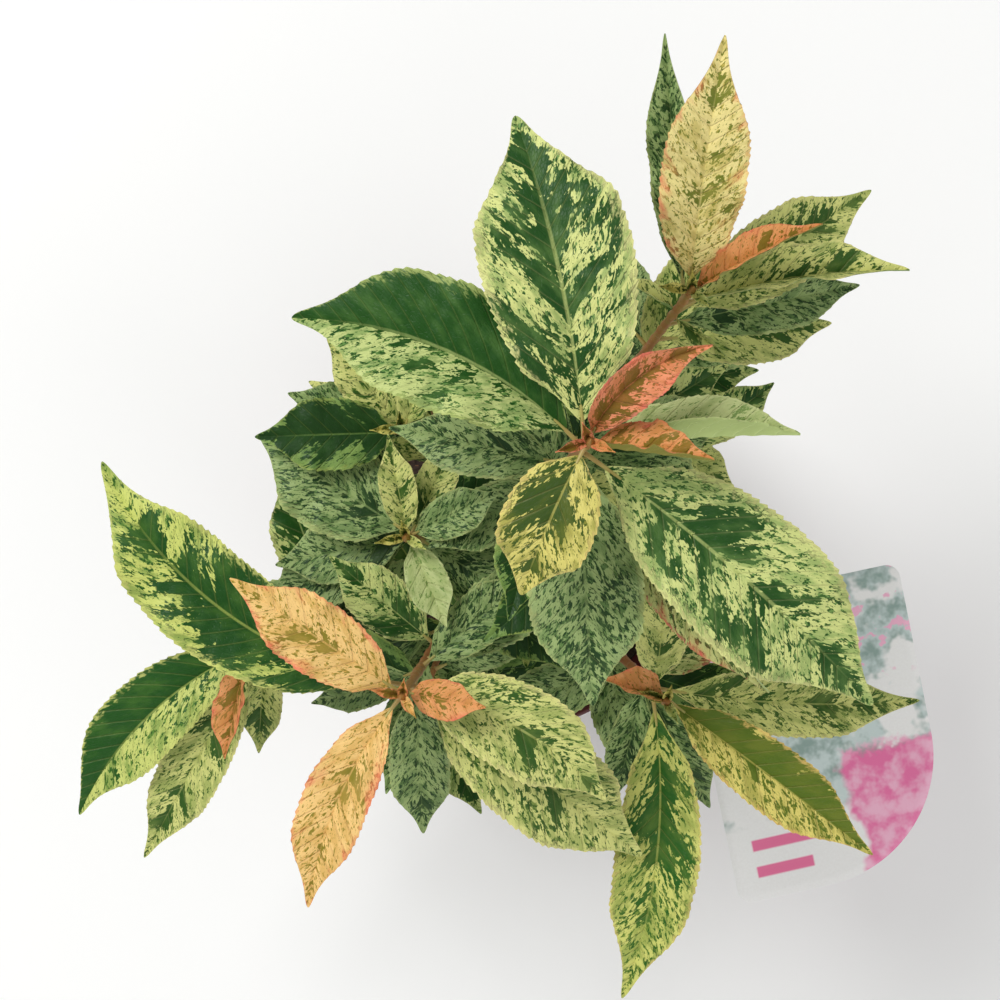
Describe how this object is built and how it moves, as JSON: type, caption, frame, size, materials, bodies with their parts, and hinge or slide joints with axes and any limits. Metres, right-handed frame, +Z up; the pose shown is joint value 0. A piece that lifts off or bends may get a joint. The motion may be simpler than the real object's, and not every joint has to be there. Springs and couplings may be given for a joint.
{
  "type": "potted chinese photinia",
  "caption": "Young variegated evergreen shrub: upright leafy shoots on a short forked trunk, growing in a round tapered nursery pot with a plain card label.",
  "frame": {"origin": "centre of the pot's flat underside", "axes": "+Z up along the pot's axis; +X to the right and +Y to the top of the picture, which looks straight down on the plant"},
  "size_m": [0.3931, 0.3821, 0.5345],
  "materials": {
    "pot": "thin moulded dark maroon plastic, satin, dusty below the rim",
    "label": "coated card, slight gloss",
    "compost": "dark moist bark and peat crumbs, matt",
    "bark": "grey-brown bark, smooth and reddish on the young wood",
    "foliage": "leathery leaves splashed green and cream, young ones orange and salmon, satin above and paler below"
  },
  "bodies": {
    "root": {"pot": "pot", "label": "label", "compost": "compost", "trunk": "bark", "bough_leader": "bark", "bough_back_right": "bark", "bough_front": "bark", "bough_front_left": "bark", "bough_front_right": "bark", "bough_left": "bark", "bough_back_left": "bark", "foliage_leader": "foliage", "foliage_back_right": "foliage", "foliage_front": "foliage", "foliage_front_left": "foliage", "foliage_front_right": "foliage", "foliage_left": "foliage", "foliage_back_left": "foliage"}
  },
  "joints": []
}
